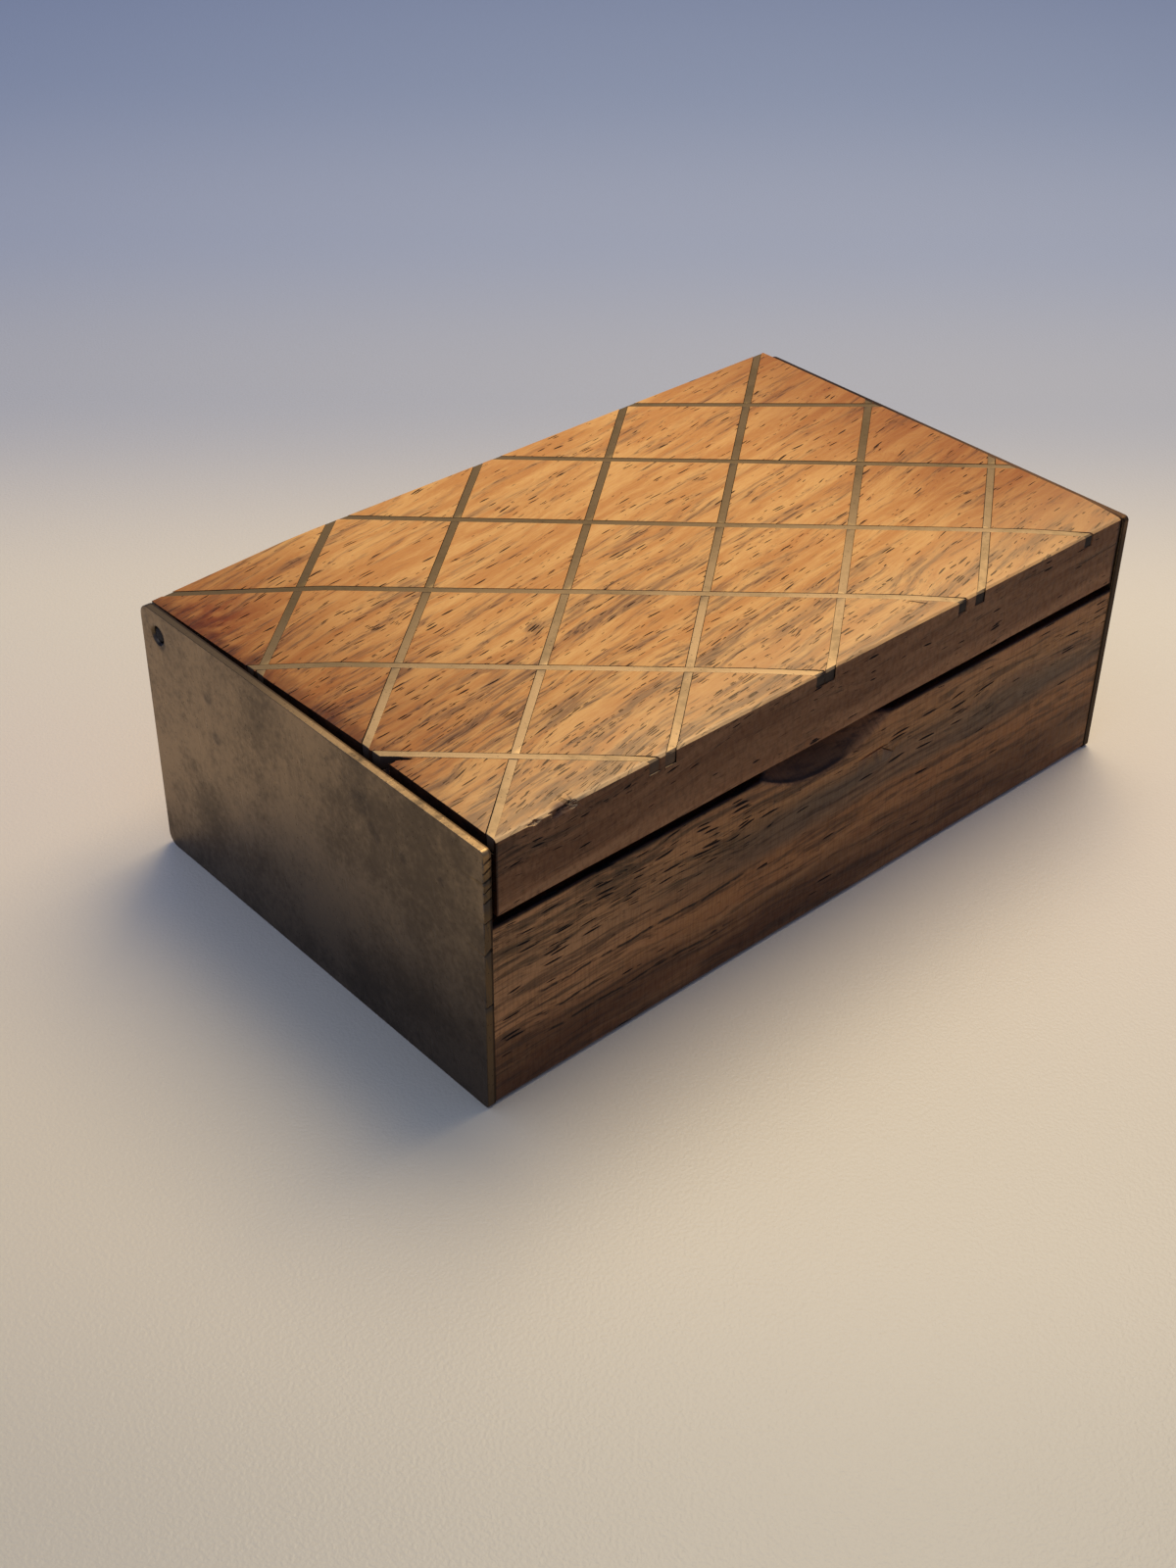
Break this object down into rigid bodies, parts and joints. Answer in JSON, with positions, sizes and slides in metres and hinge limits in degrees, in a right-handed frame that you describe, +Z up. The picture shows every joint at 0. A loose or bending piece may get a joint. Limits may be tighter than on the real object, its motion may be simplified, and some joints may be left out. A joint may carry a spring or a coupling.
{
  "type": "hinged wooden puzzle box",
  "caption": "Small wooden box with brass end plates, a brass diamond lattice let into its pin-hinged lid, a thumb notch and a hidden tilt lock.",
  "frame": {"origin": "on the table under the middle of the box", "axes": "+X along the length from the left plate to the right one, +Y from the thumb notch's face to the hinge's face, +Z up"},
  "size_m": [0.1, 0.06, 0.0342],
  "materials": {
    "block_wood": "oiled dark hardwood, open pores",
    "lid_wood": "oiled orange-brown hardwood, open pores",
    "plate_brass": "tarnished brass with bright worn edges",
    "inlay_brass": "dull brass filed flush with the wood",
    "fitting_brass": "plain sheet brass",
    "pin_steel": "dull steel wire"
  },
  "bodies": {
    "box": {"wood_block": "block_wood", "left_end_plate": "plate_brass", "right_end_plate": "plate_brass", "left_plate_dowels": "fitting_brass", "right_plate_dowels": "fitting_brass"},
    "lid": {"lid_board": "lid_wood", "lid_catch": "fitting_brass", "left_pivot_pin": "pin_steel", "right_pivot_pin": "pin_steel", "rising_strip_1": "inlay_brass", "rising_strip_2": "inlay_brass", "rising_strip_3": "inlay_brass", "rising_strip_4": "inlay_brass", "rising_strip_5": "inlay_brass", "rising_strip_6": "inlay_brass", "falling_strip_1": "inlay_brass", "falling_strip_2": "inlay_brass", "falling_strip_3": "inlay_brass", "falling_strip_4": "inlay_brass", "falling_strip_5": "inlay_brass", "falling_strip_6": "inlay_brass"},
    "lock": {"lock_pin": "pin_steel"}
  },
  "joints": [
    {"name": "lid_hinge", "type": "hinge", "parent": "box", "child": "lid", "pos_m": [0, 0.0268, 0.03055], "axis": [-1, 0, 0], "range_deg": [0, 205]},
    {"name": "lock_pin_slide", "type": "slide", "parent": "box", "child": "lock", "axis": [1, 0, 0], "range_m": [0, 0.01]}
  ]
}
